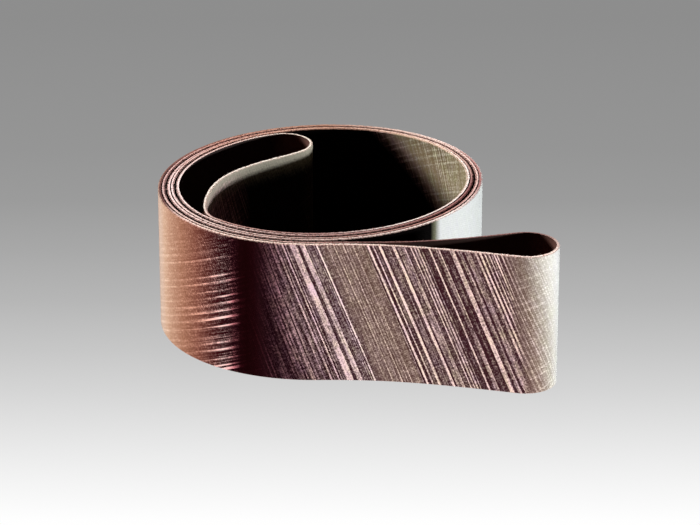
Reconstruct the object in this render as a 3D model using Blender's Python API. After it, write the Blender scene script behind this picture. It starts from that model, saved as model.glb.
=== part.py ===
"""Endless sanding belt, pressed flat into a double strand and coiled on its edge.

The belt is laid out flat first: s runs along its length, z across its width, and each layer has its
own distance from the bond line between cloth and grit. It is then wound along one closed path:

    outer loop -> outgoing strand, clockwise into the coil -> inner loop -> returning strand, back out

The grit faces outward on the closed path, so it looks away from the coil's middle on the outgoing
strand and toward the middle on the returning one. Units are metres, +Z is up.
"""

import math

import bmesh
import bpy
import numpy as np

MM = 0.001
TAU = math.tau

# Belt
BELT_WIDTH = 50.0 * MM
CLOTH_THICKNESS = 0.45 * MM
COAT_THICKNESS = 0.40 * MM
BOND_LINE = 0.05 * MM          # adhesive between cloth and grit
COAT_MARGIN = 0.2 * MM         # bare cloth along each cut edge

# Rows of the structured grit, which lean across the belt
ROW_LEAN = math.radians(22.0)
ROW_DEPTH = 0.20 * MM
ROW_CELLS = 7                  # cells across the width, which set how far apart the rows lie

# Splice that closes the belt
SPLICE_LENGTH = 22.0 * MM
SPLICE_TAPE_THICKNESS = 0.10 * MM
SPLICE_MARGIN = 0.5 * MM       # the tape stops short of the cut edges
SPLICE_TURN = 1.2              # where on the outgoing strand the splice lies, out of sight past turn 1

# Coil: the outgoing strand's outer face, seen from above, starts at the front
COIL_RADIUS = 56.85 * MM
COIL_TURNS = 2.376
STRAND_GAP = 0.65 * MM         # mean gap between neighbouring strands
TURN_SHIFT = 0.67 * MM         # each turn in lies this much farther back, so the coil is loose in front
COIL_OVAL = 2.0 * MM           # the coil is out of round by this much
COIL_OVAL_ANGLE = math.radians(31.0)

# Outer loop, in front on the right
OUTER_NOSE_RADIUS = 10.6 * MM
OUTER_NOSE_OVERHANG = 13.2 * MM    # of its centre past the coil's right side
OUTER_NOSE_START = math.radians(106.0)
OUTER_NOSE_END = math.radians(-105.0)
OUTER_LOOP_TURN = -0.005          # where the returning strand leaves the coil

# Inner loop, at the back on the left; turns are counted back from the end of the coil
INNER_NOSE_RADIUS = 9.9 * MM
INNER_NOSE_LEAD = 0.059
INNER_NOSE_START = math.radians(-5.0)
INNER_NOSE_END = math.radians(-161.0)
BELLY_LAG = 0.162
BELLY_CLEARANCE = 11.0 * MM        # between the coil's wall and the free strand
BELLY_TILT = math.radians(-23.5)   # of the free strand against the wall beside it
JOIN_LAG = 0.247

# How straight each free stretch leaves its start and meets its end, as shares of its span
OUTER_FRONT_HOLD = (0.49, 0.32)
OUTER_BACK_HOLD = (0.31, 0.60)
INNER_WALL_HOLD = (0.36, 0.36)
INNER_NOSE_HOLD = (0.29, 0.46)
INNER_BELLY_HOLD = (0.32, 0.27)

# Fineness
PATH_STEP = 0.25 * MM
HIDDEN_STEP = 6.0 * MM
TOUCHING = 0.001 * MM          # closer than this counts as one place

BELT_THICKNESS = CLOTH_THICKNESS + BOND_LINE + COAT_THICKNESS
PAIR_PITCH = 2 * (BELT_THICKNESS + STRAND_GAP)
COAT_WIDTH = BELT_WIDTH - 2 * COAT_MARGIN
ROW_STEP = COAT_WIDTH / ROW_CELLS * math.tan(ROW_LEAN)


def unit(angle):
    """Unit vector, or an array of them, at a plan angle."""
    return np.stack([np.cos(angle), np.sin(angle)], -1)


def angle_at(turns):
    """Plan angle of a strand that has run clockwise from the front for so many turns."""
    return -TAU / 4 - TAU * turns


def on_coil(turns, depth, inset):
    """Point of a coiled strand, inset from its outer face, at a depth in turns from the outermost."""
    turns = np.asarray(turns, float)
    depth = np.asarray(depth, float)
    centre = np.stack([np.zeros_like(depth), TURN_SHIFT * depth], -1)
    radius = COIL_RADIUS - PAIR_PITCH * depth - inset
    oval = COIL_OVAL * unit(2 * COIL_OVAL_ANGLE - angle_at(turns))
    return centre + radius[..., None] * unit(angle_at(turns)) + oval


def outgoing(turns):
    """Bond line of the outgoing strand, whose grit faces out."""
    return on_coil(turns, turns, COAT_THICKNESS + BOND_LINE / 2)


def returning(turns):
    """Bond line of the returning strand, half a pitch farther in, whose grit faces in."""
    return on_coil(turns, np.asarray(turns) + 0.5, CLOTH_THICKNESS + BOND_LINE / 2)


def heading(strand, turns, sense):
    """Direction in which a strand runs; sense is 1 with the turns and -1 against them."""
    step = 1e-4
    run = strand(turns + step) - strand(turns - step)
    return sense * run / np.linalg.norm(run)


def samples(length):
    """Even parameters from 0 to 1 for a stretch of about this length."""
    return np.linspace(0.0, 1.0, max(2, round(length / PATH_STEP)) + 1)


def free_stretch(start, start_heading, end, end_heading, hold):
    """Cubic curve that leaves and arrives in the given directions."""
    span = np.linalg.norm(end - start)
    t = samples(span)[:, None]
    leave = start + start_heading * hold[0] * span
    arrive = end - end_heading * hold[1] * span
    return (1 - t)**3 * start + 3 * (1 - t)**2 * t * leave + 3 * (1 - t) * t**2 * arrive + t**3 * end


def nose(centre, radius, start, end):
    """Arc of a loop's end."""
    t = samples(radius * abs(end - start))
    return centre + radius * unit(start + (end - start) * t)


def clockwise_heading(angle):
    """Direction of clockwise travel at a plan angle of an arc."""
    return -unit(angle + TAU / 4)


def coil_run(strand, start, end):
    """Points of a coiled strand between two turns."""
    t = samples(TAU * COIL_RADIUS * abs(end - start))
    return strand(start + (end - start) * t)


def belt_stretches():
    """The closed path in order, as named lists of points."""
    outer_centre = np.array([outgoing(0.75)[0] + OUTER_NOSE_OVERHANG, outgoing(0.0)[1]])
    outer_nose = nose(outer_centre, OUTER_NOSE_RADIUS, OUTER_NOSE_START, OUTER_NOSE_END)

    nose_angle = angle_at(COIL_TURNS + INNER_NOSE_LEAD)
    inner_centre = outgoing(COIL_TURNS + INNER_NOSE_LEAD) - unit(nose_angle) * INNER_NOSE_RADIUS
    inner_start = nose_angle + INNER_NOSE_START
    inner_end = nose_angle + INNER_NOSE_END
    inner_nose = nose(inner_centre, INNER_NOSE_RADIUS, inner_start, inner_end)

    belly_turn = COIL_TURNS - BELLY_LAG
    belly_angle = angle_at(belly_turn)
    belly = outgoing(belly_turn) - unit(belly_angle) * BELLY_CLEARANCE
    belly_heading = unit(belly_angle + TAU / 4 + BELLY_TILT)
    join_turn = COIL_TURNS - JOIN_LAG
    join = returning(join_turn)

    return {
        "outer_back": free_stretch(
            returning(OUTER_LOOP_TURN), heading(returning, OUTER_LOOP_TURN, -1),
            outer_nose[0], clockwise_heading(OUTER_NOSE_START), OUTER_BACK_HOLD),
        "outer_nose": outer_nose,
        "outer_front": free_stretch(
            outer_nose[-1], clockwise_heading(OUTER_NOSE_END),
            outgoing(0.0), heading(outgoing, 0.0, 1), OUTER_FRONT_HOLD),
        "outgoing_seen": coil_run(outgoing, 0.0, 1.0),
        "outgoing_hidden": coil_run(outgoing, 1.0, COIL_TURNS),
        "inner_wall": free_stretch(
            outgoing(COIL_TURNS), heading(outgoing, COIL_TURNS, 1),
            inner_nose[0], clockwise_heading(inner_start), INNER_WALL_HOLD),
        "inner_nose": inner_nose,
        "inner_free": free_stretch(
            inner_nose[-1], clockwise_heading(inner_end), belly, belly_heading, INNER_NOSE_HOLD),
        "inner_belly": free_stretch(
            belly, belly_heading, join, heading(returning, join_turn, -1), INNER_BELLY_HOLD),
        "returning_seen": coil_run(returning, join_turn, COIL_TURNS - 1.0),
        "returning_hidden": coil_run(returning, COIL_TURNS - 1.0, OUTER_LOOP_TURN),
    }


class BeltPath:
    """The belt's closed bond line, read by distance along it."""

    def __init__(self):
        stretches = belt_stretches()
        points = [stretch[:-1] for stretch in stretches.values()]
        ring = np.concatenate(points)
        ring = np.vstack([ring, ring[:1]])
        self.s = np.concatenate([[0.0], np.cumsum(np.linalg.norm(np.diff(ring, axis=0), axis=1))])
        self.length = self.s[-1]
        firsts = np.cumsum([0] + [len(part) for part in points])
        self.start = dict(zip(list(stretches) + ["end"], self.s[firsts]))

        lap = np.vstack([ring[-2], ring, ring[1]])
        run = lap[2:] - lap[:-2]
        run /= np.linalg.norm(run, axis=1)[:, None]
        self.normal = np.stack([-run[:, 1], run[:, 0]], -1)
        face = ring + self.normal * (BOND_LINE / 2 + COAT_THICKNESS)
        self.ring = ring - (face.min(0) + face.max(0)) / 2

    def at(self, s, offset):
        """Plan point at distance s, offset toward the grit side."""
        x, y = (np.interp(s, self.s, self.ring[:, axis]) for axis in (0, 1))
        nx, ny = (np.interp(s, self.s, self.normal[:, axis]) for axis in (0, 1))
        return x + nx * offset, y + ny * offset


def spaced(start, end, step):
    """Even stations from start up to, and without, the end."""
    return np.linspace(start, end, max(1, round((end - start) / step)), endpoint=False)


def splice_ends(path):
    """Where the splice starts and stops along the belt."""
    middle = np.interp(SPLICE_TURN, (1.0, COIL_TURNS), (path.start["outgoing_hidden"], path.start["inner_wall"]))
    return middle - SPLICE_LENGTH / 2, middle + SPLICE_LENGTH / 2


def belt_stations(path):
    """Stations along the belt, and for each the row column it stands in, or None where it is hidden."""
    splice_start, splice_end = splice_ends(path)
    seen_outside = spaced(0.0, path.start["outgoing_hidden"], ROW_STEP)
    hidden_outgoing = np.concatenate([
        spaced(path.start["outgoing_hidden"], splice_start, HIDDEN_STEP),
        spaced(splice_start, splice_end, HIDDEN_STEP),
        spaced(splice_end, path.start["inner_wall"], HIDDEN_STEP)])
    seen_inside = spaced(path.start["inner_wall"], path.start["returning_hidden"], ROW_STEP)
    hidden_returning = spaced(path.start["returning_hidden"], path.length, HIDDEN_STEP)
    stations = np.concatenate([seen_outside, hidden_outgoing, seen_inside, hidden_returning, [path.length]])
    columns = []
    for run, seen in ((seen_outside, True), (hidden_outgoing, False), (seen_inside, True),
                      (hidden_returning, False)):
        columns += [index if seen and index else None for index in range(len(run))]
    return stations, columns + [None]


def flat_layer(stations, levels, width, margin):
    """Flat sheet in a bmesh, one cell between stations and so many across the belt."""
    bm = bmesh.new()
    cells = len(stations) - 1
    bmesh.ops.create_grid(bm, x_segments=cells, y_segments=levels, size=1.0)
    column = bm.verts.layers.int.new("column")
    level = bm.verts.layers.int.new("level")
    for vert in bm.verts:
        vert[column] = round((vert.co.x + 1) / 2 * cells)
        vert[level] = round((vert.co.y + 1) / 2 * levels)
        vert.co = (stations[vert[column]], margin + width * vert[level] / levels, 0.0)
    return bm, column, level


def thicken(bm, low, high):
    """Turn the flat sheet into a slab from one distance to another and return its upper points."""
    for vert in bm.verts:
        vert.co.z = low
    top = bmesh.ops.extrude_face_region(bm, geom=bm.faces[:])
    upper = [item for item in top["geom"] if isinstance(item, bmesh.types.BMVert)]
    for vert in upper:
        vert.co.z = high
    bmesh.ops.recalc_face_normals(bm, faces=bm.faces[:])
    return upper


def open_ends(bm, length):
    """Remove the slab's end walls, where the endless belt meets itself."""
    ends = []
    for face in bm.faces:
        reach = [vert.co.x for vert in face.verts]
        if max(reach) < TOUCHING or min(reach) > length - TOUCHING:
            ends.append(face)
    bmesh.ops.delete(bm, geom=ends, context="FACES_ONLY")


def press_rows(bm, upper, columns, column, level):
    """Sink every other point of the upper face, so that ridges lean across the belt."""
    for vert in upper:
        place = columns[vert[column]]
        if place is not None and (place - vert[level]) % 2:
            vert.co.z -= ROW_DEPTH


def crease_rows(bm, upper):
    """Split each cell of the rows from ridge to ridge or from groove to groove, along the lean."""
    upper = set(upper)
    for face in bm.faces[:]:
        heights = [vert.co.z for vert in face.verts]
        if upper.issuperset(face.verts) and max(heights) - min(heights) > ROW_DEPTH / 2:
            corners = sorted(face.verts, key=lambda vert: vert.co.x + vert.co.y)
            bmesh.utils.face_split(face, corners[0], corners[-1])


def is_level(face):
    """Whether a face of the flat slab lies at one distance from the bond line."""
    heights = [vert.co.z for vert in face.verts]
    return max(heights) - min(heights) < TOUCHING


def merge_flat_cells(bm):
    """Join the cells across the belt wherever the sheet is plain, as it is on the bonded side."""
    plain = [edge for edge in bm.edges
             if abs(edge.verts[0].co.x - edge.verts[1].co.x) > TOUCHING
             and len(edge.link_faces) == 2 and all(is_level(face) for face in edge.link_faces)]
    bmesh.ops.dissolve_edges(bm, edges=plain, use_verts=True)


def wind(bm, path):
    """Carry the flat slab onto the coiled path and close the belt's ends on each other."""
    for vert in bm.verts:
        x, y = path.at(vert.co.x, vert.co.z)
        vert.co = (x, y, vert.co.y)
    bmesh.ops.remove_doubles(bm, verts=bm.verts[:], dist=TOUCHING)
    bmesh.ops.recalc_face_normals(bm, faces=bm.faces[:])


def material(name, colour, roughness):
    """Principled material of one layer."""
    made = bpy.data.materials.new(name)
    made.use_nodes = True
    made.diffuse_color = (*colour, 1.0)
    shader = made.node_tree.nodes["Principled BSDF"]
    shader.inputs["Base Color"].default_value = (*colour, 1.0)
    shader.inputs["Roughness"].default_value = roughness
    shader.inputs["Metallic"].default_value = 0.0
    return made


def finish(bm, name, colour, roughness, collection):
    """Make a named object of a finished layer."""
    mesh = bpy.data.meshes.new(name)
    bm.to_mesh(mesh)
    bm.free()
    mesh.materials.append(material(name, colour, roughness))
    mesh.shade_smooth()
    mesh.set_sharp_from_angle(angle=math.radians(30.0))
    made = bpy.data.objects.new(name, mesh)
    collection.objects.link(made)
    return made


def cloth_backing(path, stations, collection):
    """Woven backing, one closed band from edge to edge of the belt."""
    bm, _, _ = flat_layer(stations, 1, BELT_WIDTH, 0.0)
    thicken(bm, -BOND_LINE / 2 - CLOTH_THICKNESS, -BOND_LINE / 2)
    open_ends(bm, path.length)
    wind(bm, path)
    return finish(bm, "cloth_backing", (0.40, 0.22, 0.17), 0.85, collection)


def abrasive_coat(path, stations, columns, collection):
    """Structured grit, with leaning rows where the coil shows it and plain where strands press together."""
    bm, column, level = flat_layer(stations, ROW_CELLS, COAT_WIDTH, COAT_MARGIN)
    upper = thicken(bm, BOND_LINE / 2, BOND_LINE / 2 + COAT_THICKNESS)
    open_ends(bm, path.length)
    press_rows(bm, upper, columns, column, level)
    crease_rows(bm, upper)
    merge_flat_cells(bm)
    wind(bm, path)
    return finish(bm, "abrasive_coat", (0.30, 0.16, 0.14), 0.45, collection)


def splice_tape(path, stations, collection):
    """Film tape over the butted ends, on the cloth side."""
    start, end = splice_ends(path)
    covered = stations[(stations > start - TOUCHING) & (stations < end + TOUCHING)]
    low = -BOND_LINE * 1.5 - CLOTH_THICKNESS - SPLICE_TAPE_THICKNESS
    bm, _, _ = flat_layer(covered, 1, BELT_WIDTH - 2 * SPLICE_MARGIN, SPLICE_MARGIN)
    thicken(bm, low, low + SPLICE_TAPE_THICKNESS)
    wind(bm, path)
    return finish(bm, "splice_tape", (0.62, 0.55, 0.42), 0.35, collection)


def clear_scene():
    """Start from nothing."""
    for old in list(bpy.data.objects):
        bpy.data.objects.remove(old, do_unlink=True)


def main():
    """Build the belt."""
    clear_scene()
    belt = bpy.data.collections.new("sanding_belt")
    bpy.context.scene.collection.children.link(belt)
    path = BeltPath()
    stations, columns = belt_stations(path)
    cloth_backing(path, stations, belt)
    abrasive_coat(path, stations, columns, belt)
    splice_tape(path, stations, belt)
    print("belt length %.1f mm in %d cells" % (path.length / MM, len(stations) - 1))


main()
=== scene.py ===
"""Coiled sanding belt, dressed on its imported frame.

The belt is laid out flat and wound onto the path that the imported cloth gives: distance runs along the
belt from its splice, height across its width. The coat's rows lean across the belt, and every pattern
on it is read from a UV map that holds distance and height in metres.
"""

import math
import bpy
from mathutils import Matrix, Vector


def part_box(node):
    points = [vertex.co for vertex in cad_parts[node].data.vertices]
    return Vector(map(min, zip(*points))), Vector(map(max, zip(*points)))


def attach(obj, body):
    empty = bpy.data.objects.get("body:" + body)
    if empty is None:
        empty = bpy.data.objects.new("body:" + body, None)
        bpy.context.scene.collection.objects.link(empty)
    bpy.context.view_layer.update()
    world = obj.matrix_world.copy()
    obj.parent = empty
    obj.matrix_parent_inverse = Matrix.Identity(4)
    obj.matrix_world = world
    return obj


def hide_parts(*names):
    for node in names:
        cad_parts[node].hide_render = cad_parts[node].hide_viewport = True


bl_info = {
    "name": "Coiled sanding belt",
    "version": (1, 0, 0),
    "blender": (4, 5, 0),
    "location": "3D View > Sidebar > Sanding belt",
    "description": "Structured grit coat, woven backing, frayed cut edges, splice tape and a plain stage",
    "category": "Object",
}

import bmesh
import bpy
import numpy as np
from bpy.props import FloatProperty, FloatVectorProperty, IntProperty, PointerProperty
from bpy.types import Operator, Panel, PropertyGroup
from mathutils import Vector

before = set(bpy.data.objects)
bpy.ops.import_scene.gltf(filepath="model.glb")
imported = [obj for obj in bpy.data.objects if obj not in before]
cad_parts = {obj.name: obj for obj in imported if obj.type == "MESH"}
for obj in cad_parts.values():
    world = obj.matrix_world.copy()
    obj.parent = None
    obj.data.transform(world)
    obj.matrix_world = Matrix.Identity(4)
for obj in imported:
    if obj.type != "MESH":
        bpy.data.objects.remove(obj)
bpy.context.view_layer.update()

MM = 0.001
WELD = 1e-6
SEED = 22
PATH_STEP = 0.25 * MM
BELT_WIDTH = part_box("cloth_backing")[1].z
CLOTH_THICKNESS = 0.45 * MM
BOND_LINE = 0.05 * MM
COAT_THICKNESS = 0.40 * MM
EDGE_INSET = 0.4 * MM
BELT_MAP = "belt"
TONE = "row_tone"
ROW = "row_place"

# Sizes of the patterns on the coat, on the cloth and on the tape.
WIDE_CROSS_LINES = 2.6 * MM
FINE_CROSS_LINES = 1.1 * MM
SPECKLE = 0.7 * MM
CLUMP = 2.2 * MM
PATCH = 5.0 * MM
WEAVE_PITCH = 0.8 * MM
FUZZ = 0.35 * MM
CUT_THREADS = 0.5 * MM
STAIN = 14 * MM
HAZE = 6 * MM
RELIEF = 0.05 * MM
TAPE_RELIEF = 0.02 * MM

# Patterns drawn out along the rows or across them, among them streaks that paint the sheen of the rows: cells
# per metre across the rows, and along them.
ROW_STREAKS = (1700, 80)
CROSS_STREAKS = (90, 1500)
ROW_FADING = (400, 60)
DUST = (900, 110)

# Heights in mm between which the painted band of light turns pale, and the lines across the rows fade.
LIT_BAND_HEIGHTS = (41.0, 52.5)
PLAIN_TOP = (35.0, 45.0)

# Distances in mm from the middle of the belt's width, between which its edges turn worn or bare.
RIM_WEAR = (BELT_WIDTH / MM / 2 - 0.32, BELT_WIDTH / MM / 2 - 0.21)
BARE_CUT = (BELT_WIDTH / MM / 2 - 0.25, BELT_WIDTH / MM / 2 - 0.1)

# Distances below run from the tip of the outer loop, along the grit, in mm.

# Stretches where the grit shows: from, to.
SEEN_GRIT = ((-95.0, 450.0), (850.0, 1250.0))

# Colour of the coat along the belt, with painted light and shade in it: near-white painted glare on the outer
# loop's nose and the coil's right side, black painted shadow in the wedge behind the loop, on the inner
# strand and on the inner wall past the lamp's shadow edge, a painted lit patch on that wall, and a drift
# between copper, mauve, maroon and khaki that is partly painted light. Columns: distance, groove colour,
# ridge colour (sRGB), strength of the rows, strength of the lines that cross them, and tone between rows.
HUE_AND_LIGHT_ZONES = (
    (-30, (36, 18, 22), (170, 134, 132), 0.7, 0.3, 0.3),
    (-10, (160, 150, 140), (226, 224, 220), 0.2, 0.1, 0.4),
    (-4, (190, 189, 186), (238, 238, 236), 0.2, 0.1, 0.4),
    (3, (197, 196, 194), (240, 240, 239), 0.2, 0.1, 0.4),
    (7, (180, 176, 168), (240, 238, 232), 0.3, 0.1, 0.4),
    (10, (146, 138, 128), (232, 226, 216), 0.3, 0.2, 0.4),
    (15, (104, 84, 74), (212, 194, 182), 0.4, 0.2, 0.36),
    (19, (84, 60, 56), (206, 180, 168), 0.5, 0.1, 0.36),
    (21, (54, 22, 30), (252, 220, 212), 1.0, 0.05, 0.3),
    (61, (54, 22, 30), (255, 226, 218), 1.0, 0.05, 0.3),
    (62.5, (86, 61, 55), (232, 206, 190), 0.5, 0.05, 0.38),
    (76, (84, 60, 57), (232, 206, 192), 0.5, 0.05, 0.42),
    (78, (58, 26, 36), (255, 230, 226), 1.0, 0.05, 0.34),
    (94, (40, 12, 20), (232, 196, 198), 1.0, 0.05, 0.26),
    (100, (30, 6, 14), (176, 130, 138), 0.9, 0.05, 0.25),
    (104, (20, 1, 6), (104, 64, 72), 0.8, 0.05, 0.24),
    (107, (28, 6, 10), (62, 22, 30), 0.6, 0.05, 0.2),
    (109, (24, 1, 4), (48, 12, 16), 0.5, 0.05, 0.2),
    (112, (20, 0, 1), (36, 4, 8), 0.1, 0.2, 0.2),
    (114.5, (22, 1, 3), (60, 16, 22), 0.0, 0.6, 0.12),
    (117, (24, 0, 5), (190, 112, 118), 0.0, 0.8, 0.1),
    (119, (32, 2, 8), (250, 190, 186), 0.0, 1.1, 0.08),
    (121.5, (44, 4, 10), (255, 216, 208), 0.0, 1.15, 0.08),
    (124, (56, 12, 16), (255, 200, 190), 0.0, 0.9, 0.12),
    (127, (70, 24, 22), (250, 190, 174), 0.0, 0.64, 0.18),
    (133, (110, 62, 50), (234, 172, 148), 0.0, 0.5, 0.26),
    (141, (142, 96, 74), (222, 170, 146), 0.0, 0.4, 0.34),
    (150, (174, 132, 108), (234, 200, 178), 0.0, 0.35, 0.36),
    (155, (192, 156, 132), (240, 214, 194), 0.0, 0.3, 0.4),
    (161, (200, 174, 158), (238, 220, 208), 0.0, 0.3, 0.4),
    (190, (130, 82, 66), (214, 164, 138), 0.3, 0.4, 0.36),
    (262, (60, 34, 38), (214, 178, 166), 0.9, 0.2, 0.36),
    (320, (192, 195, 194), (234, 237, 239), 0.2, 0.1, 0.4),
    (360, (203, 205, 204), (236, 239, 241), 0.2, 0.1, 0.4),
    (386, (228, 230, 230), (248, 249, 250), 0.2, 0.1, 0.4),
    (388.5, (112, 112, 92), (156, 156, 130), 0.2, 0.1, 0.4),
    (390.5, (1, 0, 0), (6, 2, 3), 0.4, 0.1, 0.3),
    (905, (30, 18, 18), (120, 92, 86), 0.7, 0.3, 0.2),
    (922, (8, 4, 5), (26, 14, 18), 0.7, 0.2, 0.2),
    (944, (8, 4, 5), (26, 14, 18), 0.9, 0.2, 0.2),
    (962, (76, 42, 56), (236, 180, 192), 0.9, 0.3, 0.2),
    (990, (80, 42, 54), (236, 180, 192), 0.9, 0.3, 0.2),
    (1030, (12, 6, 8), (40, 26, 30), 0.8, 0.2, 0.2),
    (1080, (128, 116, 88), (255, 255, 240), 0.7, 0.25, 0.42),
    (1118, (130, 116, 86), (255, 254, 236), 0.7, 0.25, 0.42),
    (1127, (158, 140, 110), (255, 254, 238), 0.7, 0.3, 0.42),
    (1136, (202, 182, 150), (255, 254, 244), 0.7, 0.4, 0.38),
    (1140, (190, 160, 156), (255, 238, 238), 0.9, 0.5, 0.34),
    (1144.5, (60, 40, 46), (170, 136, 144), 0.9, 0.5, 0.26),
    (1148, (4, 2, 2), (12, 8, 8), 0.7, 0.1, 0.2),
)

# How far the changes of hue and of painted light and shade lean with the rows, steepest along the painted
# shadow edge on the inner wall: distance, share of the rows' lean.
HUE_AND_SHADE_LEAN = (
    (2, 0.2), (10, 0.35), (22, 0.42), (40, 1.0), (84, 1.0), (100, 0.3), (112, 0.0), (1000, 0.0), (1085, 2.7),
    (1215, 2.7), (1245, 0.0),
)
STEEPEST_HUE = 4.0
LONGEST_RAMP = 45 * MM

# Colour of the cut edge along the belt, with painted light and shade in it: paler where the rim catches the
# lamps, darker where it lies in shade: distance, colour (sRGB).
EDGE_HUES_AND_LIGHT = (
    (-460, (236, 212, 204)), (-421, (204, 168, 158)), (-384, (184, 134, 124)), (-344, (236, 204, 198)),
    (-301, (252, 230, 220)), (-256, (176, 134, 114)), (-213, (206, 158, 144)), (-170, (214, 182, 180)),
    (-127, (240, 218, 208)), (-86, (206, 164, 156)), (-70, (140, 100, 96)), (-10, (140, 100, 96)),
    (3, (242, 224, 214)), (60, (240, 220, 210)), (110, (240, 220, 206)), (140, (236, 208, 198)),
    (156, (96, 54, 50)), (184, (92, 50, 46)), (206, (140, 94, 84)), (261, (176, 134, 108)),
    (307, (255, 236, 228)), (330, (186, 136, 132)), (352, (176, 126, 124)), (378, (246, 236, 230)),
    (410, (244, 226, 218)), (450, (236, 208, 200)), (512, (252, 230, 228)), (554, (200, 154, 144)),
    (596, (178, 140, 118)), (640, (250, 222, 208)), (682, (150, 100, 100)), (721, (176, 130, 124)),
    (756, (206, 170, 164)), (792, (240, 216, 210)), (832, (255, 242, 240)), (872, (222, 188, 178)),
    (905, (240, 234, 222)), (985, (240, 232, 222)), (1000, (206, 166, 156)), (1036, (190, 150, 146)),
    (1062, (255, 246, 242)), (1120, (255, 248, 242)), (1148, (252, 228, 208)), (1190, (206, 164, 142)),
    (1232, (212, 168, 152)), (1273, (250, 228, 226)), (1300, (250, 228, 222)),
)

# Painted shade on the cloth along the belt, darkest inside the loops where little light reaches: distance,
# share of its full hue.
CLOTH_SHADE = (
    (-62, 1.0), (-54, 0.3), (-16, 0.3), (-9, 1.0), (760, 1.0), (800, 0.12), (892, 0.12), (902, 1.0),
)

# Where a painted band of light lies along the grit's upper edge, on the inner strand that the lamp lights
# only at its top: distance, how pale.
LIT_BAND_STRETCH = ((895, 0.0), (906, 1.0), (975, 1.0), (992, 0.0))

# How far the rows' slope departs from the even lean: distance, change of slope.
SLOPE_DRIFT = ((-40, 0.03), (20, 0.035), (52, 0.02), (75, 0.0), (96, -0.03), (140, -0.03))

# Rows that stand out, whose pale tones stand in partly for the painted glint of the grit's facets: distance
# at half height, width, tone.
MARKED_ROWS = (
    (13.5, 0.5, 1.10), (14.7, 0.5, 1.10), (16.3, 0.4, 0.95), (17.2, 0.5, 1.00), (19.3, 0.4, 0.85),
    (22.0, 0.7, 1.00), (23.5, 0.8, 0.74), (24.7, 0.9, 0.24), (26.5, 2.0, 0.52), (27.9, 0.6, 0.05),
    (28.7, 0.4, 0.70), (29.5, 0.8, 0.45), (30.5, 0.7, 0.10), (31.9, 1.7, 0.78), (33.2, 0.7, 0.06),
    (34.2, 0.8, 0.26), (35.2, 0.8, 0.08), (36.1, 0.4, 0.72), (36.9, 1.1, 0.46), (38.2, 1.1, 0.14),
    (39.4, 0.6, 0.92), (40.6, 1.5, 0.12), (42.4, 0.4, 0.55), (43.6, 0.6, 0.74), (44.5, 0.5, 0.80),
    (45.7, 0.4, 0.95), (46.8, 1.1, 0.26), (47.9, 0.4, 0.72), (48.5, 0.8, 0.50), (49.3, 0.5, 0.30),
    (50.1, 1.0, 0.45), (51.6, 1.0, 0.96), (52.5, 0.7, 0.20), (53.4, 0.3, 0.55), (54.5, 1.6, 0.31),
    (56.5, 0.9, 0.96), (57.5, 0.8, 0.30), (58.6, 0.5, 0.88), (59.4, 0.6, 0.08), (60.4, 0.7, 1.00),
    (65.6, 0.4, 0.95), (67.0, 0.3, 0.80), (69.0, 0.4, 1.15), (72.0, 0.4, 1.20), (77.9, 0.5, 1.05),
    (78.8, 0.3, 0.66), (80.4, 2.2, 0.34), (82.3, 0.7, 0.82), (83.3, 1.0, 0.72), (84.3, 0.6, 0.18),
    (85.4, 0.9, 0.86), (86.5, 1.3, 0.80), (87.8, 0.9, 0.36), (88.7, 0.4, 0.58), (89.7, 0.5, 0.86),
    (91.1, 0.4, 0.56), (92.2, 0.6, 0.80), (94.5, 0.5, 0.55), (97.9, 1.3, 0.58), (99.8, 0.5, 0.62),
    (101.0, 0.5, 0.62),
)

# Rows between them are drawn at random, by whether a row is pale and whether it is fine: widths in mm, tones.
DRAWN_ROWS = {
    (True, True): ((0.3, 0.5), (0.55, 0.95)),
    (True, False): ((0.7, 1.5), (0.32, 0.55)),
    (False, True): ((0.5, 1.0), (0.05, 0.34)),
    (False, False): ((0.5, 2.2), (0.05, 0.34)),
}
FINE_SHARE = 0.6
NARROWEST_GAP = 0.3 * MM
PALEST_GAP = 0.2
HIDDEN_TONE = 0.3

# Tints of the coat's patches and dust: place in the noise, colour to multiply with.
TINTS = (
    (0.36, (0.95, 0.93, 0.98)), (0.47, (1.0, 0.98, 0.98)), (0.55, (1.0, 1.0, 0.96)),
    (0.66, (0.97, 1.0, 0.90)),
)

# Loose fibres: depth of the root below the cut edge, radius at the root and at the tip.
FIBRE_ROOT = 0.15 * MM
FIBRE_RADII = (0.035 * MM, 0.01 * MM)

# Floor's grey as the camera sees it, by how far back a place lies: distance in metres, display grey.
FLOOR_GREYS = (
    (-0.1511, 254), (-0.1239, 243), (-0.0803, 223), (-0.0573, 212), (-0.0254, 198), (0.0166, 181),
    (0.0616, 167), (0.1096, 154), (0.1613, 148), (0.3132, 140),
)
FLOOR_SIZE = 12.0

# Share of the floor's own level that the lamps add, which its glow leaves out.
LIT_SHARE = 0.4

# Lamps: name, place, width and height, colour.
LAMPS = (
    ("left", (-1.15, 0.55, 0.42), (0.35, 0.22), (1.0, 0.93, 0.86)),
    ("right", (1.28, -0.205, 0.104), (0.12, 0.03), (0.97, 1.0, 1.0)),
    ("front", (-0.12, -1.2, 0.03), (0.6, 0.05), (1.0, 0.975, 0.99)),
    ("top", (-0.01, 0.55, 1.2), (0.25, 0.25), (1.0, 0.96, 0.95)),
)
LAMP_AIM = Vector((-0.01, 0.006, 0.025))
SENSOR_WIDTH = 36.0
NEAREST_SEEN = 0.01


def from_screen(colour):
    """Scene-linear colour of an 8-bit display colour."""
    share = [value / 255.0 for value in colour]
    return tuple(s / 12.92 if s <= 0.04045 else ((s + 0.055) / 1.055) ** 2.4 for s in share)


def grey(level):
    """Colour of three equal parts."""
    return (level,) * 3


def opaque(colour):
    """Colour with the full alpha that a socket asks for."""
    return (*colour, 1.0)


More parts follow.
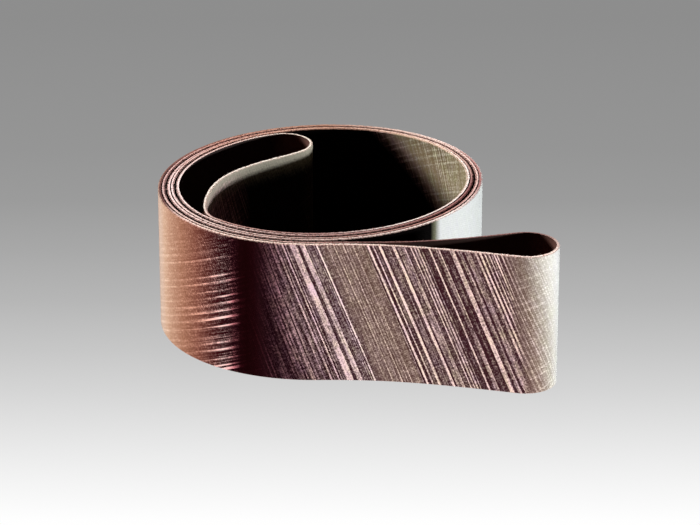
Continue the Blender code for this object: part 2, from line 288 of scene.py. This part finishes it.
class BeltSizes(PropertyGroup):
    """Sizes of the belt's fine shapes"""

    row_lean: FloatProperty(
        name="Row lean", description="How far the rows of grit lean from straight across the belt",
        default=math.radians(22.0), subtype="ANGLE")
    row_depth: FloatProperty(
        name="Row depth", description="Depth of the deepest groove between rows",
        default=0.16 * MM, unit="LENGTH")
    row_bevel: FloatProperty(
        name="Row bevel", description="Width of the slope between two rows",
        default=0.07 * MM, unit="LENGTH")
    grain_pitch: FloatProperty(
        name="Grain pitch", description="Distance between the points of the structured grit",
        default=0.95 * MM, unit="LENGTH")
    coat_margin: FloatProperty(
        name="Bare edge", description="Bare cloth along each cut edge",
        default=0.2 * MM, unit="LENGTH")
    levels: IntProperty(
        name="Levels", description="Cells of the coat across the belt's width", default=12, min=2)
    hidden_step: FloatProperty(
        name="Hidden step", description="Length of a cell where strands press together",
        default=3.0 * MM, unit="LENGTH")
    fray_step: FloatProperty(
        name="Fray step", description="Length of a cell of the cloth, which sets how fine its cut edge frays",
        default=0.55 * MM, unit="LENGTH")
    fray: FloatProperty(
        name="Fray", description="How far the cut edge wanders",
        default=0.09 * MM, unit="LENGTH")
    flare: FloatProperty(
        name="Flare", description="How far the frayed cut edge spreads on the cloth's bare side",
        default=0.12 * MM, unit="LENGTH")
    fibre_length: FloatProperty(
        name="Fibre length", description="Length of the longest loose fibre on the cut edge",
        default=0.7 * MM, unit="LENGTH")
    fibre_count: IntProperty(
        name="Fibres", description="Loose fibres along the upper cut edge", default=1500, min=0)


class BeltColours(PropertyGroup):
    """Colours of the belt's plain materials"""

    cloth: FloatVectorProperty(
        name="Cloth", description="Resin-filled cloth", subtype="COLOR", size=3, min=0.0, max=1.0,
        default=from_screen((84, 52, 45)))
    thread: FloatVectorProperty(
        name="Thread", description="Crown of a thread in the weave", subtype="COLOR", size=3, min=0.0,
        max=1.0, default=from_screen((118, 76, 66)))
    edge_shade: FloatVectorProperty(
        name="Edge shade", description="Resin and grit between the fibres of the cut edge", subtype="COLOR",
        size=3, min=0.0, max=1.0, default=from_screen((200, 160, 154)))
    stain: FloatVectorProperty(
        name="Stain", description="Darker patches of the cloth", subtype="COLOR", size=3, min=0.0, max=1.0,
        default=from_screen((70, 40, 36)))
    # Painted light: the colour of a pale band standing in for lamp light on the upper edge of the inner
    # strand.
    worn_band: FloatVectorProperty(
        name="Lit band", description="Light painted along the grit's upper edge, inside the coil",
        subtype="COLOR", size=3, min=0.0, max=1.0, default=from_screen((166, 160, 145)))
    rim_wear: FloatVectorProperty(
        name="Rim wear", description="Shade of the worn grit beside the cut edge", subtype="COLOR", size=3,
        min=0.0, max=1.0, default=from_screen((228, 208, 204)))
    tape: FloatVectorProperty(
        name="Tape", description="Film tape of the splice", subtype="COLOR", size=3, min=0.0, max=1.0,
        default=from_screen((205, 192, 170)))
    tape_haze: FloatVectorProperty(
        name="Tape haze", description="Duller patches of the film tape", subtype="COLOR", size=3, min=0.0,
        max=1.0, default=from_screen((170, 150, 120)))


class StageSettings(PropertyGroup):
    """Camera and lamps"""

    camera_place: FloatVectorProperty(
        name="Camera", description="Where the camera stands", subtype="TRANSLATION", unit="LENGTH", size=3,
        default=(-0.00171, -1.1226, 0.5104))
    camera_pitch: FloatProperty(
        name="Pitch", description="How far the camera looks down", default=math.radians(23.52),
        subtype="ANGLE")
    camera_lens: FloatProperty(
        name="Lens", description="Focal length on a sensor 36 mm wide", default=180.5, unit="CAMERA")
    left_power: FloatProperty(
        name="Left lamp", description="Power of the warm lamp on the left", default=21.0, unit="POWER")
    right_power: FloatProperty(
        name="Right lamp", description="Power of the cool lamp on the right", default=19.0, unit="POWER")
    front_power: FloatProperty(
        name="Front lamp", description="Power of the low lamp in front", default=15.6, unit="POWER")
    top_power: FloatProperty(
        name="Top lamp", description="Power of the high lamp behind", default=16.0, unit="POWER")
    world_level: FloatProperty(
        name="Room light", description="Level of the light from all round", default=0.004, min=0.0)
    floor_level: FloatProperty(
        name="Floor", description="How pale the floor is for the light that falls on it", default=0.005,
        min=0.0, max=1.0)


def rim_loop(mesh):
    """Plan points of the cloth's lower rim on the bond side, clockwise."""
    bm = bmesh.new()
    bm.from_mesh(mesh)
    bmesh.ops.remove_doubles(bm, verts=bm.verts[:], dist=WELD)
    rim = {face for face in bm.faces if max(vert.co.z for vert in face.verts) < WELD}
    beside = {}
    for edge in bm.edges:
        if len(rim.intersection(edge.link_faces)) == 1:
            one, other = edge.verts
            beside.setdefault(one, []).append(other)
            beside.setdefault(other, []).append(one)
    loops = []
    while beside:
        here = next(iter(beside))
        loop = []
        while here in beside:
            loop.append(here.co.xy[:])
            here = next((near for near in beside.pop(here) if near in beside), None)
        loops.append(np.array(loop))
    bm.free()
    if len(loops) != 2:
        raise RuntimeError("the cloth's rim should have two closed edges, not %d" % len(loops))

    def area(loop):
        following = np.roll(loop, -1, axis=0)
        return (loop[:, 0] * following[:, 1] - following[:, 0] * loop[:, 1]).sum() / 2

    bond_side = max(loops, key=lambda loop: abs(area(loop)))
    return bond_side if area(bond_side) < 0 else bond_side[::-1]


def smooth_ring(points):
    """Closed cubic curve through the stations, in short steps."""
    following = np.roll(points, -1, axis=0)
    span = np.linalg.norm(following - points, axis=1)[:, None]
    slope = (following - points) / span
    span_before, slope_before = np.roll(span, 1, axis=0), np.roll(slope, 1, axis=0)
    tangent = (slope * span_before + slope_before * span) / (span + span_before)
    tangent_after = np.roll(tangent, -1, axis=0)
    ring = []
    for index, length in enumerate(span[:, 0]):
        count = max(1, round(length / PATH_STEP))
        t = (np.arange(count) / count)[:, None]
        places = (2 * t**3 - 3 * t**2 + 1) * points[index] + (3 * t**2 - 2 * t**3) * following[index]
        turns = (t**3 - 2 * t**2 + t) * tangent[index] + (t**3 - t**2) * tangent_after[index]
        ring.append(places + length * turns)
    return np.concatenate(ring)


class BeltPath:
    """Bond side of the cloth in plan, read by distance from the middle of the splice."""

    def __init__(self):
        ring = smooth_ring(rim_loop(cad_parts["cloth_backing"].data))
        low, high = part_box("splice_tape")
        splice = np.array(((low + high) / 2).xy)
        ring = np.roll(ring, -np.argmin(np.linalg.norm(ring - splice, axis=1)), axis=0)
        ring = np.vstack([ring, ring[:1]])
        self.ring = ring
        self.s = np.concatenate([[0.0], np.cumsum(np.linalg.norm(np.diff(ring, axis=0), axis=1))])
        self.length = self.s[-1]
        self.tip = self.s[np.argmax(ring[:, 0])]
        lap = np.vstack([ring[-2], ring, ring[1]])
        run = lap[2:] - lap[:-2]
        run /= np.linalg.norm(run, axis=1)[:, None]
        self.normal = np.stack([-run[:, 1], run[:, 0]], -1)

    def at(self, s, offset):
        """Plan points at distances s, offset toward the grit side."""
        s = np.mod(s, self.length)
        x, y = (np.interp(s, self.s, self.ring[:, axis]) for axis in (0, 1))
        nx, ny = (np.interp(s, self.s, self.normal[:, axis]) for axis in (0, 1))
        return x + nx * offset, y + ny * offset

    def from_tip(self, distance):
        """Distance from the splice of a place given in mm from the outer loop's tip."""
        return (self.tip + distance * MM) % self.length

    def stops(self, table, pick):
        """Ramp stops along the belt in metres, from rows that start with a distance from the tip."""
        return sorted((self.from_tip(distance), pick(*others)) for distance, *others in table)


def flat_layer(columns, heights):
    """Flat sheet in a bmesh, and the layers that hold the column and the level of each vert."""
    bm = bmesh.new()
    bmesh.ops.create_grid(bm, x_segments=len(columns) - 1, y_segments=len(heights) - 1, size=1.0)
    column = bm.verts.layers.int.new("column")
    level = bm.verts.layers.int.new("level")
    for vert in bm.verts:
        vert[column] = round((vert.co.x + 1) / 2 * (len(columns) - 1))
        vert[level] = round((vert.co.y + 1) / 2 * (len(heights) - 1))
        vert.co = (columns[vert[column]], heights[vert[level]], 0.0)
    return bm, column, level


def thicken(bm, low, high):
    """Turn the flat sheet into a slab and return its upper verts."""
    for vert in bm.verts:
        vert.co.z = low
    top = bmesh.ops.extrude_face_region(bm, geom=bm.faces[:])
    upper = [item for item in top["geom"] if isinstance(item, bmesh.types.BMVert)]
    for vert in upper:
        vert.co.z = high
    return upper


def open_ends(bm, column, last):
    """Remove the slab's end walls, where the endless belt meets itself."""
    ends = []
    for face in bm.faces:
        places = {vert[column] for vert in face.verts}
        if places in ({0}, {last}):
            ends.append(face)
    bmesh.ops.delete(bm, geom=ends, context="FACES_ONLY")


def wind(bm, path):
    """Keep the flat place of every corner in the UV map, then carry the slab onto the coiled path."""
    uv = bm.loops.layers.uv.new(BELT_MAP)
    for face in bm.faces:
        for loop in face.loops:
            loop[uv].uv = loop.vert.co.xy
    flat = np.array([vert.co for vert in bm.verts])
    x, y = path.at(flat[:, 0], flat[:, 2])
    for vert, wound_x, wound_y, height in zip(bm.verts, x, y, flat[:, 1]):
        vert.co = (wound_x, wound_y, height)
    bmesh.ops.remove_doubles(bm, verts=bm.verts[:], dist=WELD)
    bmesh.ops.recalc_face_normals(bm, faces=bm.faces[:])


def finish_piece(bm, name, material, sharp):
    """Make a named object of a finished bmesh, which rides on the belt."""
    mesh = bpy.data.meshes.new(name)
    bm.to_mesh(mesh)
    bm.free()
    mesh.materials.append(material)
    mesh.shade_smooth()
    mesh.set_sharp_from_angle(angle=sharp)
    piece = bpy.data.objects.new(name, mesh)
    bpy.context.scene.collection.objects.link(piece)
    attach(piece, "root")
    return piece


class Value:
    """A shader socket that can be added, multiplied and compared."""

    def __init__(self, shader, socket):
        self.shader = shader
        self.socket = socket

    def maths(self, operation, *others):
        return self.shader.node("ShaderNodeMath", {"operation": operation}, dict(enumerate(others)))

    def __add__(self, other):
        return self.maths("ADD", self, other)

    def __sub__(self, other):
        return self.maths("SUBTRACT", self, other)

    def __rsub__(self, other):
        return self.maths("SUBTRACT", other, self)

    def __mul__(self, other):
        return self.maths("MULTIPLY", self, other)

    def __truediv__(self, other):
        return self.maths("DIVIDE", self, other)

    def __gt__(self, other):
        return self.maths("GREATER_THAN", self, other)

    def __lt__(self, other):
        return self.maths("LESS_THAN", self, other)

    __radd__ = __add__
    __rmul__ = __mul__

    def sine(self):
        return self.maths("SINE", self)

    def absolute(self):
        return self.maths("ABSOLUTE", self)

    def other(self, output):
        """Another output of the same node."""
        return Value(self.shader, self.socket.node.outputs[output])

    def held(self):
        """Kept between 0 and 1."""
        return self.shader.node("ShaderNodeClamp", {}, {"Value": self})

    def between(self, low, high):
        """0 below low and 1 above high, with a soft step."""
        return self.shader.node("ShaderNodeMapRange", {"interpolation_type": "SMOOTHSTEP"},
                                {"Value": self, "From Min": low, "From Max": high})


class Shader:
    """The nodes of one material."""

    def __init__(self, name, roughness, **constants):
        self.material = bpy.data.materials.new(name)
        self.material.use_nodes = True
        self.tree = self.material.node_tree
        self.surface = self.tree.nodes["Principled BSDF"]
        self.surface.inputs["Roughness"].default_value = roughness
        for socket, value in constants.items():
            self.surface.inputs[socket.replace("_", " ")].default_value = value

    def node(self, kind, settings, sockets, output=0):
        """Add a node: its settings first, then the values or links of its sockets."""
        made = self.tree.nodes.new(kind)
        for name, value in settings.items():
            if name == "stops":
                self.set_stops(made.color_ramp, value)
            else:
                setattr(made, name, value)
        for name, value in sockets.items():
            self.plug(made.inputs[name], value)
        return Value(self, made.outputs[output])

    def plug(self, socket, value):
        if isinstance(value, Value):
            self.tree.links.new(value.socket, socket)
        else:
            socket.default_value = value

    @staticmethod
    def set_stops(ramp, stops):
        for _ in stops[2:]:
            ramp.elements.new(0.5)
        for element, (place, colour) in zip(ramp.elements, stops):
            element.position = place
            element.color = (*colour, 1.0)

    def ramp(self, value, stops):
        """Colour along sorted stops from 0 to 1."""
        return self.node("ShaderNodeValToRGB", {"stops": stops}, {"Fac": value})

    def long_ramp(self, value, stops):
        """Colour along sorted stops in metres: a node for each stretch, as one for the belt would blur."""
        colour = None
        while len(stops) > 1:
            last = 1
            while last + 1 < len(stops) and stops[last + 1][0] - stops[0][0] < LONGEST_RAMP:
                last += 1
            start, span = stops[0][0], stops[last][0] - stops[0][0]
            stretch = [((place - start) / span, hue) for place, hue in stops[:last + 1]]
            piece = self.ramp((value - start) / span, stretch)
            colour = self.mix(value > start, colour, piece) if colour else piece
            stops = stops[last:]
        return colour

    def mix(self, share, one, other, blend="MIX"):
        """Mix of two colours."""
        settings = {"data_type": "RGBA", "blend_type": blend}
        return self.node("ShaderNodeMix", settings, {0: share, 6: one, 7: other}, 2)

    def tint(self, share, colour, other):
        """Colour multiplied by another one, as far as the share says."""
        return self.mix(share, colour, other, "MULTIPLY")

    def attribute(self, name):
        """Number that the mesh carries at its points."""
        return self.node("ShaderNodeAttribute", {"attribute_name": name}, {}, "Fac")

    def channels(self, colour):
        """Red of a colour, whose node has green and blue as its other outputs."""
        return self.node("ShaderNodeSeparateColor", {}, {0: colour})

    def vector(self, x, y, z=0.0):
        return self.node("ShaderNodeCombineXYZ", {}, {0: x, 1: y, 2: z})

    def parts(self, vector):
        return [self.node("ShaderNodeSeparateXYZ", {}, {0: vector}, axis) for axis in range(3)]

    def noise(self, vector, scale, detail=2.0, roughness=0.5):
        return self.node("ShaderNodeTexNoise", {},
                         {"Vector": vector, "Scale": scale, "Detail": detail, "Roughness": roughness})

    def cells(self, place, scale):
        """Random number of each cell of an uneven row of cells, and the distance to the cell's edge."""
        settings = {"voronoi_dimensions": "1D"}
        sockets = {"W": place, "Scale": scale}
        colour = self.node("ShaderNodeTexVoronoi", settings, sockets, "Color")
        settings["feature"] = "DISTANCE_TO_EDGE"
        edge = self.node("ShaderNodeTexVoronoi", settings, sockets, "Distance")
        return self.channels(colour), edge

    def bump(self, height, distance):
        """Raise the surface by height times distance."""
        normal = self.node("ShaderNodeBump", {}, {"Height": height, "Distance": distance, "Strength": 1.0})
        self.plug(self.surface.inputs["Normal"], normal)

    def colour(self, value):
        self.plug(self.surface.inputs["Base Color"], value)

    def rough(self, value):
        self.plug(self.surface.inputs["Roughness"], value)


def grit_material(path, sizes, colours):
    """Structured grit: rows, the finer lines that cross them, points of grain, and a hue that drifts along
    the belt with painted light and shade in it: glare, shadowed stretches, a lit band and glints of the rows.
    """
    shader = Shader("grit", 0.6, Specular_IOR_Level=0.02)
    belt = shader.node("ShaderNodeUVMap", {"uv_map": BELT_MAP}, {})
    along, height, _ = shader.parts(belt)
    cosine, sine = math.cos(sizes.row_lean), math.sin(sizes.row_lean)
    middle = height - BELT_WIDTH / 2
    across_rows = shader.attribute(ROW)
    along_rows = middle * cosine + along * sine

    # The zones' edges lean with the rows; among them are the edges of painted glare and painted shadow.
    hue_and_shade_lean = shader.long_ramp(along, path.stops(HUE_AND_SHADE_LEAN, lambda share: grey(share / STEEPEST_HUE)))
    zone = along - middle * hue_and_shade_lean * (STEEPEST_HUE * math.tan(sizes.row_lean))

    # Groove and ridge colours of the zones hold painted glare, painted shadow and a painted lit patch as well
    # as the coat's hue.
    groove = shader.long_ramp(zone, path.stops(HUE_AND_LIGHT_ZONES, lambda groove, *others: from_screen(groove)))
    ridge = shader.long_ramp(zone, path.stops(HUE_AND_LIGHT_ZONES, lambda groove, ridge, *others: from_screen(ridge)))
    strengths = shader.long_ramp(zone, path.stops(HUE_AND_LIGHT_ZONES, lambda groove, ridge, *shows: shows))
    rows_show = shader.channels(strengths)
    cross_show, base = rows_show.other("Green"), rows_show.other("Blue")

    def drawn_out(cells, *finish):
        """Noise drawn out along or across the rows."""
        place = shader.vector(across_rows * cells[0], along_rows * cells[1])
        return shader.noise(place, 1.0, *finish)

    row = shader.attribute(TONE)
    rotated = shader.vector(across_rows, along_rows)
    wide_cell, wide_edge = shader.cells(along_rows, 1 / WIDE_CROSS_LINES)
    fine_cell, fine_edge = shader.cells(along_rows + 0.3, 1 / FINE_CROSS_LINES)
    drift = shader.noise(shader.vector(along * 60, middle * 200), 1.0)
    wide = wide_cell * wide_cell * 0.9 + drift.between(0.4, 0.65) * 0.5
    lines = (wide_edge < wide_cell * 0.14 + 0.05) * wide + (fine_edge < 0.16) * (fine_cell * 0.35)
    cross = lines * (1.0 - (height / MM).between(*PLAIN_TOP) * (0.9 - rows_show))

    turn = math.tau / sizes.grain_pitch
    waves = (across_rows * turn).sine() * (along_rows * turn).sine()
    speckle = shader.noise(rotated, 1 / SPECKLE, 1.0)
    clumps = shader.noise(rotated, 1 / CLUMP, 2.0)
    row_streaks = drawn_out(ROW_STREAKS, 2.0, 0.6)
    cross_streaks = drawn_out(CROSS_STREAKS, 2.0, 0.6)
    fading = drawn_out(ROW_FADING, 1.0)

    # Painted light and shade: the pale rows and the streaks along and across them stand in partly for the
    # glint of the grit's facets, and the dark groove colour of deep rows partly for the shade in them; the
    # rest is the rows' own tone.
    rows = rows_show * (row * (fading * 0.7 + 0.62) - base)
    row_lines = (rows_show + 0.3) * (row_streaks - 0.5) * 0.8
    cross_lines = (cross_show + 0.25) * (cross_streaks - 0.5) * 0.9 + cross_show * cross * 1.05
    points = waves * (0.16 - rows_show * 0.1)
    grain = (speckle - 0.5) * 1.15 + (clumps - 0.5) * 0.45
    level = (base + rows + row_lines + cross_lines + points + grain).held()

    colour = shader.mix(level * level, groove, ridge)
    for pattern in (shader.noise(rotated, 1 / PATCH, 2.0), drawn_out(DUST, 1.0)):
        colour = shader.tint(rows_show, colour, shader.ramp(pattern, TINTS))
    # Painted light: a pale band along the upper edge of the inner strand, where the lamp's light reaches over
    # the coil's rim.
    band = shader.long_ramp(along, path.stops(LIT_BAND_STRETCH, grey))
    band = band * (height / MM + (speckle - 0.5) * 4.0 + (row_streaks - 0.5) * 4.0).between(*LIT_BAND_HEIGHTS)
    colour = shader.mix(band, colour, opaque(colours.worn_band))
    wear = (middle.absolute() / MM).between(*RIM_WEAR) * ((speckle - 0.35) * 2.5).held()
    # Colour of the cut edge, with painted light and shade along the rim.
    hue = shader.long_ramp(along, path.stops(EDGE_HUES_AND_LIGHT, from_screen))
    shader.colour(shader.mix(wear, colour, shader.tint(1.0, hue, opaque(colours.rim_wear))))
    shader.rough(0.7 - level * 0.2)
    shader.bump(waves * 0.5 + speckle * 0.9 + cross * cross_show * 0.6, RELIEF)
    return shader.material


def cloth_material(path, colours):
    """Resin-filled plain weave on the back with painted shade inside the loops, bare pale fibres at the cut
    edges.
    """
    shader = Shader("cloth", 0.8, Specular_IOR_Level=0.3)
    belt = shader.node("ShaderNodeUVMap", {"uv_map": BELT_MAP}, {})
    along, height, _ = shader.parts(belt)
    turn = math.tau / WEAVE_PITCH
    weave = (height * turn).sine() * (along * turn).sine() * 0.5 + 0.5
    place = shader.vector(along, height)
    fuzz = shader.noise(place, 1 / FUZZ, 2.0)
    stains = shader.noise(place, 1 / STAIN, 2.0).between(0.35, 0.75) * 0.35
    body = shader.mix((weave * 0.6 + fuzz * 0.5 - 0.1).held(), opaque(colours.cloth), opaque(colours.thread))
    body = shader.mix(stains, body, opaque(colours.stain))
    # Painted shade on the cloth inside the loops.
    body = shader.tint(1.0, body, shader.long_ramp(along, path.stops(CLOTH_SHADE, grey)))
    # Colour of the cut edge, with painted light and shade along the rim.
    hue = shader.long_ramp(along, path.stops(EDGE_HUES_AND_LIGHT, from_screen))
    threads = shader.noise(shader.vector(along, height * 0.2), 1 / CUT_THREADS, 2.0)
    bare = shader.mix(threads.between(0.38, 0.52), shader.tint(1.0, hue, opaque(colours.edge_shade)), hue)
    at_edge = ((height - BELT_WIDTH / 2).absolute() / MM).between(*BARE_CUT)
    shader.colour(shader.mix(at_edge, body, bare))
    shader.bump(weave * 0.7 + fuzz * 0.6, RELIEF)
    return shader.material


def tape_material(colours):
    """Thin film tape with a faint haze."""
    shader = Shader("tape", 0.35, Specular_IOR_Level=0.5)
    place = shader.node("ShaderNodeTexCoord", {}, {}, "Object")
    haze = shader.noise(place, 1 / HAZE, 3.0)
    shader.colour(shader.mix(haze.between(0.3, 0.7) * 0.4, opaque(colours.tape), opaque(colours.tape_haze)))
    shader.rough(0.3 + haze * 0.2)
    shader.bump(haze, TAPE_RELIEF)
    return shader.material


def coat_columns(path, sizes):
    """Columns of the coat along the belt: distance, depth below full height and tone."""
    random = np.random.default_rng(SEED)
    seen = [(path.from_tip(start), path.from_tip(end)) for start, end in SEEN_GRIT]
    marked = sorted((path.from_tip(place) - width * MM / 2, width * MM, tone)
                    for place, width, tone in MARKED_ROWS)
    hidden = (sizes.row_depth / 2, HIDDEN_TONE)
    columns = [(0.0, *hidden)]
    place = sizes.hidden_step
    pale = False
    while place < path.length - sizes.hidden_step / 2:
        if not any(start <= place <= end for start, end in seen):
            columns.append((place, *hidden))
            place += sizes.hidden_step
            continue
        pale = not pale
        widths, tones = DRAWN_ROWS[pale, random.random() < FINE_SHARE]
        width, tone = random.uniform(*widths) * MM, random.uniform(*tones)
        if marked and place + width > marked[0][0]:
            gap = marked[0][0] - place
            if gap > NARROWEST_GAP:
                width, tone = gap, min(tone, PALEST_GAP)
            else:
                _, width, tone = marked.pop(0)
                pale = True
        depth = sizes.row_depth * max(0.0, 1 - tone)
        bevel = min(sizes.row_bevel, width / 4)
        columns += [(place + bevel, depth, tone), (place + width - bevel, depth, tone)]
        place += width
    columns.append((path.length, *hidden))
    return columns


class BELT_OT_grit_coat(Operator):
    """Coat of structured grit, whose rows lean across the belt"""
    bl_idname = "belt.grit_coat"
    bl_label = "Grit coat"

    def execute(self, context):
        scene = context.scene
        sizes = scene.belt_sizes
        path = BeltPath()
        columns = coat_columns(path, sizes)
        distances = [column[0] for column in columns]
        width = BELT_WIDTH - 2 * sizes.coat_margin
        heights = np.linspace(sizes.coat_margin, sizes.coat_margin + width, sizes.levels + 1)
        bm, column, _ = flat_layer(distances, heights)
        upper = set(thicken(bm, BOND_LINE, BOND_LINE + COAT_THICKNESS))
        tone = bm.verts.layers.float.new(TONE)
        row = bm.verts.layers.float.new(ROW)
        drift = sorted((path.from_tip(distance), change) for distance, change in SLOPE_DRIFT)
        slopes = math.tan(sizes.row_lean) + np.interp(distances, *zip(*drift))
        slopes[-1] = slopes[0]
        for vert in bm.verts:
            place, depth, shade = columns[vert[column]]
            vert.co.x += (vert.co.y - BELT_WIDTH / 2) * slopes[vert[column]]
            vert[tone], vert[row] = shade, place
            if vert in upper:
                vert.co.z -= depth
        open_ends(bm, column, len(columns) - 1)
        wind(bm, path)
        material = grit_material(path, sizes, scene.belt_colours)
        piece = finish_piece(bm, "grit_coat", material, sharp=math.radians(50.0))
        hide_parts("abrasive_coat")
        return {"FINISHED"}


class BELT_OT_cloth_band(Operator):
    """Band of resin-filled cloth, whose cut edges fray a little"""
    bl_idname = "belt.cloth_band"
    bl_label = "Cloth band"

    def execute(self, context):
        scene = context.scene
        sizes = scene.belt_sizes
        path = BeltPath()
        random = np.random.default_rng(SEED + 1)
        distances = np.linspace(0.0, path.length, round(path.length / sizes.fray_step) + 1)
        heights = [0.0, EDGE_INSET, BELT_WIDTH / 2, BELT_WIDTH - EDGE_INSET, BELT_WIDTH]
        bm, column, level = flat_layer(distances, heights)
        thicken(bm, -CLOTH_THICKNESS, 0.0)
        last = len(distances) - 1
        wander = random.uniform(-1.0, 1.0, (2, last + 1, 2)) * sizes.fray
        wander[:, last] = wander[:, 0]
        for vert in bm.verts:
            side = int(vert.co.z > -CLOTH_THICKNESS / 2)
            lift, shift = wander[side, vert[column]]
            if vert[level] == len(heights) - 1:
                vert.co.y += lift
            elif vert[level] == 0:
                vert.co.y += abs(lift)
            if vert[level] in (0, len(heights) - 1) and side == 0:
                vert.co.z += shift * 0.6 - sizes.flare
        open_ends(bm, column, last)
        wind(bm, path)
        material = cloth_material(path, scene.belt_colours)
        piece = finish_piece(bm, "cloth_band", material, sharp=math.radians(40.0))
        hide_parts("cloth_backing")
        return {"FINISHED"}


class BELT_OT_edge_fibres(Operator):
    """Loose fibres that stand on the upper cut edge"""
    bl_idname = "belt.edge_fibres"
    bl_label = "Edge fibres"

    def execute(self, context):
        scene = context.scene
        sizes = scene.belt_sizes
        path = BeltPath()
        random = np.random.default_rng(SEED + 2)
        bm = bmesh.new()
        uv = bm.loops.layers.uv.new(BELT_MAP)
        places = np.sort(random.uniform(0.0, path.length, sizes.fibre_count))
        offsets = random.uniform(-CLOTH_THICKNESS * 0.85, -CLOTH_THICKNESS * 0.15, sizes.fibre_count)
        x, y = path.at(places, offsets)
        for index in range(sizes.fibre_count):
            length = sizes.fibre_length * random.uniform(0.35, 1.0)
            root = Vector((x[index], y[index], BELT_WIDTH - FIBRE_ROOT))
            lean = Vector((random.uniform(-0.8, 0.8), random.uniform(-0.8, 0.8), 1.0)).normalized()
            made = bmesh.ops.create_cone(bm, cap_ends=True, segments=4, radius1=FIBRE_RADII[0],
                                         radius2=FIBRE_RADII[1], depth=length)
            turn = lean.to_track_quat("Z", "Y").to_matrix()
            bmesh.ops.rotate(bm, verts=made["verts"], cent=(0, 0, 0), matrix=turn)
            bmesh.ops.translate(bm, verts=made["verts"], vec=root + lean * length / 2)
            for vert in made["verts"]:
                for loop in vert.link_loops:
                    loop[uv].uv = (places[index], BELT_WIDTH)
        material = bpy.data.materials["cloth"]
        finish_piece(bm, "edge_fibres", material, sharp=math.radians(60.0))
        return {"FINISHED"}


class BELT_OT_splice_tape(Operator):
    """Finish of the film tape that closes the belt"""
    bl_idname = "belt.splice_tape"
    bl_label = "Splice tape"

    def execute(self, context):
        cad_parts["splice_tape"].material_slots[0].material = tape_material(context.scene.belt_colours)
        return {"FINISHED"}


def floor_material(settings):
    """Plain floor that goes from white in front to grey at the back."""
    shader = Shader("floor", 0.9, Specular_IOR_Level=0.0, Emission_Strength=1.0)
    place = shader.node("ShaderNodeTexCoord", {}, {}, "Object")
    _, back, _ = shader.parts(place)
    near, far = FLOOR_GREYS[0][0], FLOOR_GREYS[-1][0]
    stops = [((distance - near) / (far - near), from_screen(grey(level))) for distance, level in FLOOR_GREYS]
    shown = shader.ramp((back - near) / (far - near), stops)
    glow = shader.node("ShaderNodeVectorMath", {"operation": "SUBTRACT"},
                       {0: shown, 1: grey(settings.floor_level * LIT_SHARE)})
    seen = shader.node("ShaderNodeLightPath", {}, {}, "Is Camera Ray")
    glow = shader.node("ShaderNodeVectorMath", {"operation": "SCALE"}, {0: glow, "Scale": seen})
    shader.plug(shader.surface.inputs["Emission Color"], glow)
    shader.colour(opaque(grey(settings.floor_level)))
    return shader.material


def softbox(name, place, size, power, colour):
    """Rectangular lamp that faces the belt."""
    data = bpy.data.lights.new(name, "AREA")
    data.shape = "RECTANGLE"
    data.size, data.size_y = size
    data.energy = power
    data.color = colour
    lamp = bpy.data.objects.new(name, data)
    lamp.location = place
    lamp.rotation_euler = (LAMP_AIM - Vector(place)).to_track_quat("-Z", "Y").to_euler()
    lamp.visible_camera = False
    bpy.context.scene.collection.objects.link(lamp)


class BELT_OT_stage(Operator):
    """Floor, lamps, room light and camera"""
    bl_idname = "belt.stage"
    bl_label = "Stage"

    def execute(self, context):
        scene = context.scene
        settings = scene.belt_stage

        bm = bmesh.new()
        bmesh.ops.create_grid(bm, x_segments=1, y_segments=1, size=FLOOR_SIZE / 2)
        mesh = bpy.data.meshes.new("floor")
        bm.to_mesh(mesh)
        bm.free()
        mesh.materials.append(floor_material(settings))
        floor = bpy.data.objects.new("floor", mesh)
        scene.collection.objects.link(floor)

        world = bpy.data.worlds.new("room")
        world.use_nodes = True
        background = world.node_tree.nodes["Background"]
        background.inputs["Color"].default_value = opaque(grey(settings.world_level))
        scene.world = world

        for name, place, size, colour in LAMPS:
            softbox(name + "_lamp", place, size, getattr(settings, name + "_power"), colour)

        view = bpy.data.cameras.new("camera")
        view.lens = settings.camera_lens
        view.sensor_width = SENSOR_WIDTH
        view.clip_start = NEAREST_SEEN
        camera = bpy.data.objects.new("camera", view)
        camera.location = settings.camera_place
        camera.rotation_euler = (math.pi / 2 - settings.camera_pitch, 0.0, 0.0)
        scene.collection.objects.link(camera)
        scene.camera = camera
        scene.view_settings.view_transform = "Standard"
        return {"FINISHED"}


class VIEW3D_PT_sanding_belt(Panel):
    """Pieces of the sanding belt, its sizes and its colours"""
    bl_label = "Sanding belt"
    bl_space_type = "VIEW_3D"
    bl_region_type = "UI"
    bl_category = "Sanding belt"

    def draw(self, context):
        scene = context.scene
        for operator in PIECES:
            self.layout.operator(operator.bl_idname)
        for group in (scene.belt_sizes, scene.belt_colours, scene.belt_stage):
            box = self.layout.box()
            for name in group.__annotations__:
                box.prop(group, name)


GROUPS = {"belt_sizes": BeltSizes, "belt_colours": BeltColours, "belt_stage": StageSettings}
PIECES = (BELT_OT_grit_coat, BELT_OT_cloth_band, BELT_OT_edge_fibres, BELT_OT_splice_tape, BELT_OT_stage)
CLASSES = (*GROUPS.values(), *PIECES, VIEW3D_PT_sanding_belt)


def register():
    for made in CLASSES:
        bpy.utils.register_class(made)
    for name, group in GROUPS.items():
        setattr(bpy.types.Scene, name, PointerProperty(type=group))


def unregister():
    for name in GROUPS:
        delattr(bpy.types.Scene, name)
    for made in reversed(CLASSES):
        bpy.utils.unregister_class(made)


def main():
    """Make every piece."""
    register()
    bpy.ops.belt.grit_coat()
    bpy.ops.belt.cloth_band()
    bpy.ops.belt.edge_fibres()
    bpy.ops.belt.splice_tape()
    bpy.ops.belt.stage()


if __name__ == "__main__":
    main()
